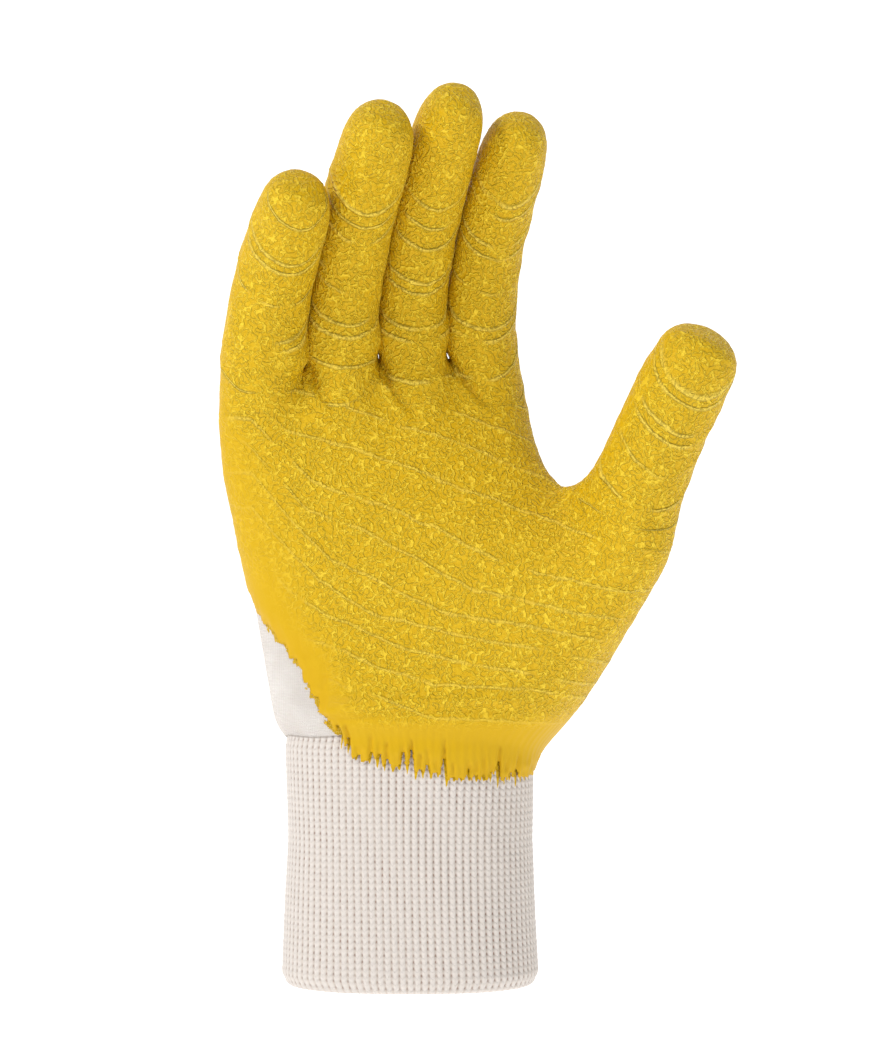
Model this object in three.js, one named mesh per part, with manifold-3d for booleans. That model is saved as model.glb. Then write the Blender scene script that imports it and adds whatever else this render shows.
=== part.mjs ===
// A right-hand work glove, shaped as it is on a hand: a jersey liner, a crinkled latex coat over the palm,
// the fingers and the thumb, and a rib-knit cuff that is sewn inside the liner's lower edge.
// Millimetres. Fingers point up +Z, the palm faces -Y and the thumb is on the +X side.
// The origin is the centre of the cuff's mouth, where the hand goes in.
import * as THREE from "three";
import { mergeVertices } from "three/addons/utils/BufferGeometryUtils.js";
import Module from "manifold-3d";

const wasm = await Module();
wasm.setup();

// Driving sizes of the hand, measured outside the coat.
const handBreadth = 90;
const palmLength = 97; // from the wrist seam to the crotches of the fingers
const palmThickness = 30;
const latexThickness = 1.0;
const jerseyThickness = 1.2;
const layerGap = 0.3; // clearance between one layer and the next

// Driving sizes of the cuff, outside its ribs.
const cuffHeight = 73; // from the hem to the wrist seam at the sides
const cuffWidth = 73.2;
const cuffDepth = 50;
const cuffWall = 2.2; // two layers of rib knit, folded at the hem
const cuffSquareness = 2.3; // exponent of its oval: 2 is an ellipse
const ribPitch = 2.14;
const ribRelief = 0.5;
const ovalPoints = 64; // for a smooth outline of the cuff

// The cuff from its hem to the edge that is sewn inside the liner, as shares of its height, width and depth.
const cuffSections = [
  { height: 0, width: 0.955, depth: 0.94 },
  { height: 0.05, width: 1, depth: 1 },
  { height: 0.57, width: 0.957, depth: 0.955 },
  { height: 0.93, width: 0.97, depth: 0.95 },
  { height: 1.07, width: 0.92, depth: 0.87 },
];

// The digits. x is the centre of the root as a share of handBreadth, y of palmThickness, and z of palmLength
// above the seam. Length, depth and width (at root and tip) are millimetres, lean and flex are degrees there.
const digits = [
  { name: "little", x: -0.45, y: -0.42, z: 0.99, length: 67, width: [25.6, 18.8], depth: [21, 18],
    lean: [-4, 20], flex: [11, 43] },
  { name: "ring", x: -0.206, y: -0.235, z: 1.02, length: 85.5, width: [22, 20], depth: [20, 18.8],
    lean: [-6, 18], flex: [10, 42] },
  { name: "middle", x: 0.0165, y: -0.02, z: 1.04, length: 89, width: [21.6, 18.8], depth: [20, 18.4],
    lean: [-8, 18], flex: [9, 40] },
  { name: "index", x: 0.2315, y: 0.125, z: 1.03, length: 81, width: [21.6, 18.4], depth: [20, 18],
    lean: [-8, 17], flex: [7, 37] },
  { name: "thumb", x: 0.672, y: -0.95, z: 0.6, length: 60, width: [26.4, 22.4], depth: [23, 20],
    lean: [14, 26], flex: [14, 22] },
];
const leanRange = [0.05, 0.55]; // the stretch of a digit's length over which its lean changes
const flexRange = [0.1, 0.9];

// Control rings along a digit: how far along it, and how wide against its own width there.
const digitRings = [
  { along: 0.19, girth: 0.97 },
  { along: 0.5, girth: 1.0 },
  { along: 0.8, girth: 1.02 },
  { along: 0.98, girth: 0.9 },
];
const hexagonShare = 0.832; // a smoothed hexagon's radius against its control points'
const crotchRise = 4; // how far a crotch's control point lies over the lower root beside it
const longestStep = 3; // the most that a fold lengthens the step from one layer to the next
const foldTurns = 30;

// Sections of the hand from the wrist seam up to the thumb's root. height is a share of palmLength above the
// seam, left and right are shares of handBreadth. thick and cupped are shares of palmThickness at the little
// finger's side and at the thumb's: how thick the hand is, and how far that side swings to the palm's front.
// frontRise lifts the front against the back, in millimetres.
const handSections = [
  { height: -0.1, left: -0.34, right: 0.4, thick: [1.4, 1.4], cupped: [0, 0], frontRise: 8 },
  { height: -0.02, left: -0.45, right: 0.48, thick: [1.76, 1.8], cupped: [0, 0], frontRise: 8 },
  { height: 0.06, left: -0.468, right: 0.56, thick: [1.8, 1.82], cupped: [0, 0.05], frontRise: 6 },
  { height: 0.16, left: -0.487, right: 0.62, thick: [1.62, 1.6], cupped: [0, 0.26], frontRise: 3 },
  { height: 0.49, left: -0.552, right: 0.825, thick: [1.16, 1.2], cupped: [0.14, 1], frontRise: 0 },
];
// The same for the part above the thumb's root, which carries the four fingers.
const knuckleSections = [
  { height: 0.68, left: -0.6, right: 0.48, thick: [1.08, 1], cupped: [0.24, 0.2], frontRise: 0 },
  { height: 0.85, left: -0.622, right: 0.408, thick: [1, 0.96], cupped: [0.34, 0], frontRise: 0 },
];
const palmSquareness = 2.6;
const webShare = { x: 0.455, y: -0.36, z: 0.715 }; // the web between thumb and index, as the roots are given

// Where the coat ends: its height round the wrist, as a share of palmLength above the seam. The angle goes
// about the Z axis, from 0 at the thumb side through the back at 90 to the little finger side at 180.
const coatEdge = [
  { angle: 0, height: -0.09 },
  { angle: 30, height: 0.02 },
  { angle: 60, height: 0.25 },
  { angle: 90, height: 0.42 },
  { angle: 130, height: 0.5 },
  { angle: 160, height: 0.45 },
  { angle: 180, height: 0.39 },
  { angle: 195, height: 0.3 },
  { angle: 210, height: 0.195 },
  { angle: 222, height: 0.06 },
  { angle: 229, height: -0.045 },
  { angle: 245, height: -0.088 },
  { angle: 265, height: -0.105 },
  { angle: 290, height: -0.128 },
  { angle: 320, height: -0.138 },
  { angle: 342, height: -0.138 },
];
const coatEdgeSteps = 72;
const cutterOval = { x: 45, y: 24 }; // about the wrist's half width and half depth
const cutterInner = 0.5; // shares of that oval between which the cut is made
const cutterOuter = 1.6;

const turn = Math.PI * 2;
const radians = THREE.MathUtils.degToRad;

// A point from shares of the hand's breadth, thickness and length.
function sharePoint({ x, y, z }) {
  return new THREE.Vector3(x * handBreadth, y * palmThickness, cuffHeight + z * palmLength);
}

// The angle that a digit has reached at a share of its length, between its values at root and tip.
function bendAt([root, tip], along, [start, end]) {
  return radians(root + (tip - root) * THREE.MathUtils.smoothstep(along, start, end));
}

// The direction of a digit's axis at a share of its length: up, leaned to +X and flexed towards the palm.
function axisAt(digit, along) {
  const lean = bendAt(digit.lean, along, leanRange);
  const flex = bendAt(digit.flex, along, flexRange);
  return new THREE.Vector3(Math.sin(lean) * Math.cos(flex), -Math.sin(flex), Math.cos(lean) * Math.cos(flex));
}

// The centre and frame of a digit at a share of its length, by walking along its axis in small steps.
function frameAt(digit, along) {
  const steps = 40;
  const centre = sharePoint(digit);
  for (let i = 0; i < steps; i++) {
    centre.addScaledVector(axisAt(digit, (along * (i + 0.5)) / steps), (digit.length * along) / steps);
  }
  const axis = axisAt(digit, along);
  const lean = bendAt(digit.lean, along, leanRange);
  const side = new THREE.Vector3(Math.cos(lean), 0, -Math.sin(lean));
  return { centre, side, front: side.clone().cross(axis) };
}

// Six control points round a digit: left side, front left, front right, right side, back right, back left.
function digitRing(digit, along, girth) {
  const { centre, side, front } = frameAt(digit, along);
  const share = Math.min(along, 1);
  const halfWidth = (THREE.MathUtils.lerp(...digit.width, share) * girth) / hexagonShare / 2;
  const halfDepth = (THREE.MathUtils.lerp(...digit.depth, share) * girth) / hexagonShare / 2;
  return [180, 240, 300, 0, 60, 120].map((degrees) =>
    centre
      .clone()
      .addScaledVector(side, Math.cos(radians(degrees)) * halfWidth)
      .addScaledVector(front, -Math.sin(radians(degrees)) * halfDepth),
  );
}

// Control points round a section of the hand: left side, two front columns for each digit from left to right,
// right side, and the back columns from right to left.
function sectionRing(section, digitCount) {
  const { height, left, right, thick, cupped, frontRise } = section;
  const column = (across, face) => {
    const share = (across + 1) / 2;
    const x = THREE.MathUtils.lerp(left, right, share) * handBreadth;
    const half = (THREE.MathUtils.lerp(...thick, share) * palmThickness) / 2;
    const bulge = face * (1 - Math.abs(across) ** palmSquareness) ** (1 / palmSquareness);
    const swing = (cupped[0] * (1 - share) ** 2 + cupped[1] * share ** 2) * palmThickness;
    const z = cuffHeight + height * palmLength - (bulge * frontRise) / 2;
    return new THREE.Vector3(x, bulge * half - swing, z);
  };
  const columns = [];
  for (let i = 0; i < digitCount; i++) {
    const middle = ((i + 0.5) / digitCount) * 2 - 1;
    columns.push(middle - 0.48 / digitCount, middle + 0.48 / digitCount);
  }
  return [
    column(-1, 0),
    ...columns.map((across) => column(across, -1)),
    column(1, 0),
    ...columns.map((across) => column(across, 1)).reverse(),
  ];
}

// A cage of control points and faces that rings are added to from the bottom up.
class Cage {
  points = [];
  faces = [];

  add(points) {
    return points.map((point) => this.points.push(point) - 1);
  }

  // A band of faces between two rings of equal count, which run anticlockwise seen from above.
  band(lower, upper) {
    lower.forEach((corner, i) => {
      const next = (i + 1) % lower.length;
      this.faces.push([corner, lower[next], upper[next], upper[i]]);
    });
  }

  // A band from one ring to several loops side by side that share their crotch points. Each loop takes the
  // ring's front and back columns above it, and a five-sided face closes the ring to each crotch.
  split(ring, loops) {
    const side = (ring.length - 2) / 2;
    let taken = 0;
    loops.forEach((loop, k) => {
      const count = (loop.length - 2) / 2;
      const front = ring.slice(1 + taken, 1 + taken + count);
      const back = ring.slice(ring.length - taken - count, ring.length - taken);
      const loopFront = loop.slice(1, 1 + count);
      const loopBack = loop.slice(2 + count);
      for (let i = 0; i + 1 < count; i++) {
        this.faces.push([front[i], front[i + 1], loopFront[i + 1], loopFront[i]]);
        this.faces.push([back[i], back[i + 1], loopBack[i + 1], loopBack[i]]);
      }
      if (k === 0) {
        this.faces.push([ring[0], front[0], loopFront[0], loop[0]]);
        this.faces.push([back.at(-1), ring[0], loop[0], loopBack.at(-1)]);
      }
      if (k === loops.length - 1) {
        this.faces.push([front.at(-1), ring[1 + side], loop[1 + count], loopFront.at(-1)]);
        this.faces.push([ring[1 + side], back[0], loopBack[0], loop[1 + count]]);
      } else {
        const beside = loops[k + 1];
        const besideCount = (beside.length - 2) / 2;
        const crotch = loop[1 + count];
        this.faces.push([front.at(-1), ring[1 + taken + count], beside[1], crotch, loopFront.at(-1)]);
        this.faces.push([ring[ring.length - taken - count - 1], back[0], loopBack[0], crotch,
          beside[1 + 2 * besideCount]]);
      }
      taken += count;
    });
  }
}

// The control cage of the whole hand, open at the bottom.
function handCage() {
  const cage = new Cage();
  let ring = null;
  for (const section of handSections) {
    const next = cage.add(sectionRing(section, digits.length));
    if (ring) cage.band(ring, next);
    ring = next;
  }
  const fingers = digits.slice(0, -1);
  const thumb = digits.at(-1);
  const [web] = cage.add([sharePoint(webShare)]);

  // Round the palm, with the web as its right side, and round the thumb, with the web as its left side.
  const palmPoints = sectionRing(knuckleSections[0], fingers.length);
  const half = palmPoints.length / 2;
  const palmLoop = [...cage.add(palmPoints.slice(0, half)), web, ...cage.add(palmPoints.slice(half + 1))];
  const thumbLoop = [web, ...cage.add(digitRing(thumb, 0, 1).slice(1))];
  cage.split(ring, [palmLoop, thumbLoop]);

  ring = palmLoop;
  for (const section of knuckleSections.slice(1)) {
    const next = cage.add(sectionRing(section, fingers.length));
    cage.band(ring, next);
    ring = next;
  }
  const roots = fingers.map((finger) => digitRing(finger, 0, 1));
  const crotches = roots.slice(1).map((root, i) =>
    sharePoint(fingers[i]).add(sharePoint(fingers[i + 1])).divideScalar(2).setZ(
      Math.min(sharePoint(fingers[i]).z, sharePoint(fingers[i + 1]).z) + crotchRise));
  const crotchIds = cage.add(crotches);
  const loops = roots.map((root, i) => {
    const left = i === 0 ? cage.add([root[0]])[0] : crotchIds[i - 1];
    const right = i === roots.length - 1 ? cage.add([root[3]])[0] : crotchIds[i];
    return [left, ...cage.add(root.slice(1, 3)), right, ...cage.add(root.slice(4))];
  });
  cage.split(ring, loops);

  digits.forEach((digit, i) => {
    let below = digit === thumb ? thumbLoop : loops[i];
    for (const { along, girth } of digitRings) {
      const above = cage.add(digitRing(digit, along, girth));
      cage.band(below, above);
      below = above;
    }
    cage.faces.push([below[0], below[1], below[2], below[3]], [below[3], below[4], below[5], below[0]]);
  });
  return cage;
}

function meanOf(points) {
  return points.reduce((sum, point) => sum.add(point), new THREE.Vector3()).divideScalar(points.length);
}

// One Catmull-Clark subdivision of a cage, with its border kept as a smooth curve.
function subdivided({ points, faces }) {
  const facePoints = faces.map((face) => meanOf(face.map((id) => points[id])));
  const edges = new Map();
  const edgeOf = (a, b) => {
    const key = a < b ? `${a},${b}` : `${b},${a}`;
    if (!edges.has(key)) edges.set(key, { ends: [a, b], faces: [] });
    return edges.get(key);
  };
  faces.forEach((face, f) => face.forEach((id, i) => edgeOf(id, face[(i + 1) % face.length]).faces.push(f)));
  const around = points.map(() => ({
    faces: new THREE.Vector3(),
    count: 0,
    mids: new THREE.Vector3(),
    edges: 0,
    border: [],
  }));
  faces.forEach((face, f) => face.forEach((id) => {
    around[id].faces.add(facePoints[f]);
    around[id].count += 1;
  }));
  const next = [...points.map((point) => point.clone()), ...facePoints];
  for (const edge of edges.values()) {
    const [a, b] = edge.ends;
    const mid = points[a].clone().add(points[b]).divideScalar(2);
    for (const id of edge.ends) {
      around[id].mids.add(mid);
      around[id].edges += 1;
      if (edge.faces.length === 1) around[id].border.push(mid);
    }
    const beside = edge.faces.map((f) => facePoints[f]);
    const edgePoint = mid.clone();
    if (beside.length === 2) edgePoint.multiplyScalar(2).add(beside[0]).add(beside[1]).divideScalar(4);
    edge.id = next.push(edgePoint) - 1;
  }
  points.forEach((point, id) => {
    const { faces: sum, count, mids, edges: valence, border } = around[id];
    if (border.length) {
      next[id] = point.clone().multiplyScalar(2).add(border[0]).add(border[1]).divideScalar(4);
    } else {
      next[id] = sum.divideScalar(count).addScaledVector(mids.divideScalar(valence), 2)
        .addScaledVector(point, valence - 3).divideScalar(valence);
    }
  });
  const quads = faces.flatMap((face, f) => face.map((id, i) => [
    id,
    edgeOf(id, face[(i + 1) % face.length]).id,
    points.length + f,
    edgeOf(face[(i + face.length - 1) % face.length], id).id,
  ]));
  return { points: next, faces: quads };
}

// Moves each inner point of a subdivided cage to where endless subdivision would take it.
function settled({ points, faces }) {
  const sums = points.map(() => ({ edges: new THREE.Vector3(), faces: new THREE.Vector3(), count: 0 }));
  const neighbours = points.map(() => new Set());
  for (const face of faces) {
    face.forEach((id, i) => {
      neighbours[id].add(face[(i + 1) % 4]).add(face[(i + 3) % 4]);
      sums[id].faces.add(points[face[(i + 2) % 4]]);
      sums[id].count += 1;
    });
  }
  const moved = points.map((point, id) => {
    const n = sums[id].count;
    if (neighbours[id].size !== n) return point.clone();
    const edges = [...neighbours[id]].reduce((sum, other) => sum.add(points[other]), new THREE.Vector3());
    return point.clone().multiplyScalar(n * n).addScaledVector(edges, 4).add(sums[id].faces)
      .divideScalar(n * (n + 5));
  });
  return { points: moved, faces };
}

// The way out at each point of a surface: a direction that all the faces round the point look along, turned
// step by step towards the face that looks least along it. It is longer where they fold sharply, so that the
// surface moved by it keeps clear of the first one.
function outwardsOf({ points, faces }) {
  const normals = points.map(() => []);
  for (const [a, b, c, d] of faces) {
    const normal = points[c].clone().sub(points[a]).cross(points[d].clone().sub(points[b])).normalize();
    for (const id of [a, b, c, d]) normals[id].push(normal);
  }
  return normals.map((around) => {
    const out = around.reduce((sum, normal) => sum.add(normal), new THREE.Vector3()).normalize();
    const agreement = (normal) => out.dot(normal);
    for (let turns = 0; turns < foldTurns; turns++) {
      const [least] = [...around].sort((one, other) => agreement(one) - agreement(other));
      out.addScaledVector(least, 1 / (turns + 2)).normalize();
    }
    return out.divideScalar(Math.max(Math.min(...around.map(agreement)), 1 / longestStep));
  });
}

const cage = handCage();
const handSurface = settled(subdivided(cage));
const handOutwards = outwardsOf(handSurface);

// A closed mesh as a solid for cutting and joining.
function solidOf(geometry) {
  const bare = geometry.clone().deleteAttribute("normal").deleteAttribute("uv");
  const merged = mergeVertices(bare, 1e-4);
  return new wasm.Manifold(new wasm.Mesh({
    numProp: 3,
    vertProperties: new Float32Array(merged.attributes.position.array),
    triVerts: new Uint32Array(merged.index.array),
  }));
}

function geometryOf(solid) {
  const { numProp, vertProperties, triVerts } = solid.getMesh();
  const positions = new Float32Array((vertProperties.length / numProp) * 3);
  for (let i = 0; i < positions.length / 3; i++) {
    positions.set(vertProperties.subarray(i * numProp, i * numProp + 3), i * 3);
  }
  const geometry = new THREE.BufferGeometry();
  geometry.setAttribute("position", new THREE.BufferAttribute(positions, 3));
  geometry.setIndex(new THREE.BufferAttribute(triVerts, 1));
  return geometry;
}

// A geometry from points and faces of any number of corners, each cut into a fan.
function facetedGeometry(points, faces) {
  const index = faces.flatMap((face) =>
    face.slice(2).flatMap((_, i) => [face[0], face[i + 1], face[i + 2]]));
  const geometry = new THREE.BufferGeometry();
  geometry.setAttribute("position", new THREE.Float32BufferAttribute(points.flatMap((p) => p.toArray()), 3));
  geometry.setIndex(index);
  return geometry;
}

// The cage's own faces with their points on the surface, for a surface that doesn't show. Where a face lies
// over a hollow by more than a depth, the surface's finer faces stay, and the faces beside them take in the
// points between.
function plainFaces(deepest) {
  const { points, faces } = handSurface;
  const between = new Set();
  let first = 0;
  const parts = cage.faces.map((face) => {
    const quads = faces.slice(first, (first += face.length));
    const centre = meanOf(face.map((id) => points[id]));
    const middles = quads.map(([id], i) => points[id].clone().lerp(points[face[(i + 1) % face.length]], 0.5));
    const isDeep = (over, id) => over.sub(points[id]).dot(handOutwards[id]) > deepest;
    const keepsQuads = isDeep(centre, quads[0][2]) || quads.some((quad, i) => isDeep(middles[i], quad[1]));
    if (keepsQuads) quads.forEach((quad) => between.add(quad[1]));
    return { quads, keepsQuads };
  });
  return parts.flatMap(({ quads, keepsQuads }) =>
    keepsQuads ? quads : [quads.flatMap(([id, middle]) => (between.has(middle) ? [id, middle] : [id]))]);
}

// The space inside the hand's surface once that is taken in by a depth, closed by a flat floor.
function handSolid(depth, faces = handSurface.faces) {
  const points = handSurface.points.map((point, i) => point.clone().addScaledVector(handOutwards[i], -depth));
  const border = borderOf(faces);
  const hub = points.push(meanOf(border.map((id) => points[id]))) - 1;
  const floor = border.map((id, i) => [hub, border[(i + 1) % border.length], id]);
  return solidOf(facetedGeometry(points, [...faces, ...floor]));
}

// The points round the open edge of a surface, in the order in which its faces pass them.
function borderOf(faces) {
  const after = new Map();
  const pairs = new Set(faces.flatMap((face) => face.map((id, i) => `${id},${face[(i + 1) % face.length]}`)));
  for (const face of faces) {
    face.forEach((id, i) => {
      const next = face[(i + 1) % face.length];
      if (!pairs.has(`${next},${id}`)) after.set(id, next);
    });
  }
  const [first] = after.keys();
  const ring = [first];
  for (let id = after.get(first); id !== first; id = after.get(id)) ring.push(id);
  return ring;
}

// Evenly spaced points round one section of the cuff, its outline moved out by an offset. With ribs, every
// second point sinks towards the middle.
function cuffRing({ height, width, depth }, offset, count, relief) {
  const squared = (value, half) => Math.sign(value) * Math.abs(value) ** (2 / cuffSquareness) * half;
  const outline = Array.from({ length: ovalPoints }, (_, i) => {
    const angle = (i / ovalPoints) * turn;
    return new THREE.Vector2(
      squared(Math.cos(angle), (cuffWidth * width) / 2 + offset),
      squared(Math.sin(angle), (cuffDepth * depth) / 2 + offset),
    );
  });
  const curve = new THREE.SplineCurve([...outline, outline[0]]);
  curve.arcLengthDivisions = ovalPoints * 8;
  return curve.getSpacedPoints(count).slice(0, count).map((p, i) => {
    p.setLength(p.length() - (i % 2) * relief);
    return new THREE.Vector3(p.x, p.y, height * cuffHeight);
  });
}

// A solid lofted through rings of equal count, with flat ends.
function loftSolid(rings) {
  const count = rings[0].length;
  const points = rings.flat();
  const faces = rings.slice(1).flatMap((_, k) =>
    rings[0].map((_, i) => [
      k * count + i,
      k * count + ((i + 1) % count),
      (k + 1) * count + ((i + 1) % count),
      (k + 1) * count + i,
    ]));
  const hubs = [rings[0], rings.at(-1)].map((ring) => points.push(meanOf(ring)) - 1);
  const last = (rings.length - 1) * count;
  for (let i = 0; i < count; i++) {
    faces.push([hubs[0], (i + 1) % count, i]);
    faces.push([hubs[1], last + i, last + ((i + 1) % count)]);
  }
  return solidOf(facetedGeometry(points, faces));
}

// The cuff's space moved out by an offset. It can be run on past its ends by a share of its height.
function cuffSolid(offset, { count = ovalPoints, relief = 0, below = 0, above = 0, from = 0 } = {}) {
  const sections = cuffSections.slice(from).map((section) => ({ ...section }));
  sections[0].height -= below;
  sections.at(-1).height += above;
  return loftSolid(sections.map((section) => cuffRing(section, offset, count, relief)));
}

// The space under the coat's edge, in a ring that holds the wrist's wall.
function bareRegion() {
  const edge = coatEdge.map(({ angle, height }) => {
    const way = new THREE.Vector3(Math.cos(radians(angle)), Math.sin(radians(angle)), 0);
    const reach = 1 / Math.hypot(way.x / cutterOval.x, way.y / cutterOval.y);
    return way.multiplyScalar(reach).setZ(cuffHeight + height * palmLength);
  });
  const curve = new THREE.CatmullRomCurve3(edge, true).getPoints(coatEdgeSteps).slice(0, -1);
  const inner = curve.map((p) => new THREE.Vector3(p.x * cutterInner, p.y * cutterInner, p.z));
  const outer = curve.map((p) => new THREE.Vector3(p.x * cutterOuter, p.y * cutterOuter, p.z));
  const low = (ring) => ring.map((p) => p.clone().setZ(0));
  const rings = [inner, low(inner), low(outer), outer];
  const faces = rings.flatMap((_, k) =>
    curve.map((_, i) => {
      const count = curve.length;
      const next = ((k + 1) % rings.length) * count;
      return [k * count + i, k * count + ((i + 1) % count), next + ((i + 1) % count), next + i];
    }));
  return solidOf(facetedGeometry(rings.flat(), faces));
}

function latexCoat() {
  const hand = handSolid(0);
  const inside = handSolid(latexThickness);
  const overCuff = cuffSolid(layerGap + latexThickness, { from: 2 });
  const cuffRoom = cuffSolid(layerGap, { from: 2, below: 0.1, above: 0.05 });
  return hand.add(overCuff).subtract(inside.add(cuffRoom)).subtract(bareRegion());
}

function jerseyLiner() {
  const outside = latexThickness + layerGap;
  const cuffRoom = cuffSolid(layerGap, { from: 2, below: 0.1, above: 0.01 });
  const hollow = handSolid(outside + jerseyThickness, plainFaces(jerseyThickness / 5));
  return handSolid(outside).subtract(hollow).subtract(cuffRoom);
}

function ribCuff() {
  const girth = Math.PI * (1.5 * (cuffWidth + cuffDepth) / 2 - Math.sqrt(cuffWidth * cuffDepth) / 2);
  const ribs = Math.round(girth / ribPitch);
  const hollow = cuffSolid(-cuffWall, { below: 0.02, above: 0.02 });
  return cuffSolid(0, { count: ribs * 2, relief: ribRelief }).subtract(hollow);
}

function piece(name, solid, { color, roughness }) {
  const material = new THREE.MeshStandardMaterial({ color, roughness, metalness: 0 });
  const mesh = new THREE.Mesh(geometryOf(solid), material);
  mesh.name = name;
  return mesh;
}

const glove = new THREE.Group();
glove.add(piece("latex_coat", latexCoat(), { color: 0xd9ad26, roughness: 0.6 }));
glove.add(piece("jersey_liner", jerseyLiner(), { color: 0xece7e3, roughness: 0.95 }));
glove.add(piece("rib_cuff", ribCuff(), { color: 0xe9e1d9, roughness: 0.95 }));
export default glove;
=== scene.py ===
import itertools
import math

import bpy
import numpy as np
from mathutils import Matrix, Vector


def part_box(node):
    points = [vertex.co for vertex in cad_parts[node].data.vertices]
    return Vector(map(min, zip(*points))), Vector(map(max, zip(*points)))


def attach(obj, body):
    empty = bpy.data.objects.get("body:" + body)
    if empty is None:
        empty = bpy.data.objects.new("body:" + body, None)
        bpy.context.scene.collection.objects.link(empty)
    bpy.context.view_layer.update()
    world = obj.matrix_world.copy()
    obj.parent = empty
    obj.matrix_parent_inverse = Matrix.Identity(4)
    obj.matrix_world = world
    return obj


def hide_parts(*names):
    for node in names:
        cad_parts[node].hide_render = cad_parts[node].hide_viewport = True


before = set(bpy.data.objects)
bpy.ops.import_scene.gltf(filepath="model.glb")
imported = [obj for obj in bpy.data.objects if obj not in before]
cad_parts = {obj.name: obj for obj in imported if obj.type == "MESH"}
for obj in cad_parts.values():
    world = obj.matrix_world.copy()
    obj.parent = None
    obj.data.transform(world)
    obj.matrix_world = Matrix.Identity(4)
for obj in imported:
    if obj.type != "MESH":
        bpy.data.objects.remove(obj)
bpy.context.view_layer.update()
mm = 0.001
print("stage: frame loaded")

# The hand's form: the same driving sizes as the solids that the pieces stand for.
hand = {
    "breadth": 90,
    "palmLength": 97,
    "palmThickness": 30,
    "palmSquareness": 2.6,
    "wristHeight": 73,
    "hexagonShare": 0.832,
    "crotchRise": 4,
    "columnSpread": 0.48,  # from the middle of a digit's share of the ring to the points that lead up to it
    "leanSpan": (0.05, 0.55),
    "flexSpan": (0.1, 0.9),
    "web": (0.455, -0.36, 0.715),
}
layers = {"latex": 1.0, "gap": 0.3, "jersey": 1.2}

digitColumns = "name root length width depth lean flex"
digits = [
    dict(zip(digitColumns.split(), row))
    for row in [
        ("little", (-0.45, -0.42, 0.99), 67, (25.6, 18.8), (21, 18), (-4, 20), (11, 43)),
        ("ring", (-0.206, -0.235, 1.02), 85.5, (22, 20), (20, 18.8), (-6, 18), (10, 42)),
        ("middle", (0.0165, -0.02, 1.04), 89, (21.6, 18.8), (20, 18.4), (-8, 18), (9, 40)),
        ("index", (0.2315, 0.125, 1.03), 81, (21.6, 18.4), (20, 18), (-8, 17), (7, 37)),
        ("thumb", (0.672, -0.95, 0.6), 60, (26.4, 22.4), (23, 20), (14, 26), (14, 22)),
    ]
]
# rings along each digit: share of its length, and of its girth
digitRings = [(0.19, 0.97), (0.5, 1.0), (0.8, 1.02), (0.98, 0.9)]

# height and sides as shares of palm length and breadth, thickness and cupping of palm thickness
sectionColumns = "height left right thick cupped frontRise"
handSections = [
    dict(zip(sectionColumns.split(), row))
    for row in [
        (-0.1, -0.34, 0.4, (1.4, 1.4), (0, 0), 8),
        (-0.02, -0.45, 0.48, (1.76, 1.8), (0, 0), 8),
        (0.06, -0.468, 0.56, (1.8, 1.82), (0, 0.05), 6),
        (0.16, -0.487, 0.62, (1.62, 1.6), (0, 0.26), 3),
        (0.49, -0.552, 0.825, (1.16, 1.2), (0.14, 1), 0),
    ]
]
knuckleSections = [
    dict(zip(sectionColumns.split(), row))
    for row in [
        (0.68, -0.6, 0.48, (1.08, 1), (0.24, 0.2), 0),
        (0.85, -0.622, 0.408, (1, 0.96), (0.34, 0), 0),
    ]
]
wristRings = [-0.2, -0.3, -0.4]  # rings down the cuff for the coat to follow, as shares of palm length

# Each point of the hand's surface is a row: x, y, z, then the distance along its digit, its side and front
# on the digit's round, and how far it belongs to each digit.
placeColumns = slice(0, 3)
alongColumn, sideColumn, frontColumn = 3, 4, 5
memberColumns = slice(6, 6 + len(digits))
columnCount = 6 + len(digits)


# a number eased from 0 to 1 between two places: 3t^2 - 2t^3
def eased(value, start, end):
    t = np.clip((value - start) / (end - start), 0, 1)
    return t * t * (3 - 2 * t)


# a point given as shares of the hand's breadth, thickness and length
def sharePoint(share):
    x, y, z = share
    height = hand["wristHeight"] + z * hand["palmLength"]
    return np.array([x * hand["breadth"], y * hand["palmThickness"], height])


# lean and flex of a digit, in radians, at a share of its length: its root value eased to its tip value
def bendsAt(digit, along):
    bends = []
    for (root, tip), span in ((digit["lean"], hand["leanSpan"]), (digit["flex"], hand["flexSpan"])):
        bends.append(np.radians(root + (tip - root) * eased(along, *span)))
    return bends


# a digit's centre, side and front at a share of its length: its axis summed in small steps from the root
def digitFrame(digit, along, steps=40):
    walk = along * (np.arange(steps) + 0.5) / steps
    lean, flex = bendsAt(digit, walk)
    way = np.stack([np.sin(lean) * np.cos(flex), -np.sin(flex), np.cos(lean) * np.cos(flex)], axis=1)
    centre = sharePoint(digit["root"]) + way.sum(axis=0) * digit["length"] * along / steps
    lean, flex = bendsAt(digit, np.array(along))
    axis = np.array([np.sin(lean) * np.cos(flex), -np.sin(flex), np.cos(lean) * np.cos(flex)])
    side = np.array([np.cos(lean), 0, -np.sin(lean)])
    return centre, side, np.cross(side, axis)


# six control points on an oval round a digit: left, two in front, right and two behind
def digitRing(index, along, girth):
    digit = digits[index]
    centre, side, front = digitFrame(digit, along)
    share = min(along, 1)
    halfWidth, halfDepth = (
        (root + (tip - root) * share) * girth / hand["hexagonShare"] / 2
        for root, tip in (digit["width"], digit["depth"])
    )
    turns = np.radians([180, 240, 300, 0, 60, 120])
    ring = np.zeros((6, columnCount))
    ring[:, placeColumns] = (
        centre + np.outer(np.cos(turns) * halfWidth, side) + np.outer(-np.sin(turns) * halfDepth, front)
    )
    ring[:, alongColumn] = along * digit["length"]
    ring[:, sideColumn] = np.cos(turns)
    ring[:, frontColumn] = -np.sin(turns)
    ring[:, memberColumns.start + index] = 1
    return ring


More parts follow.
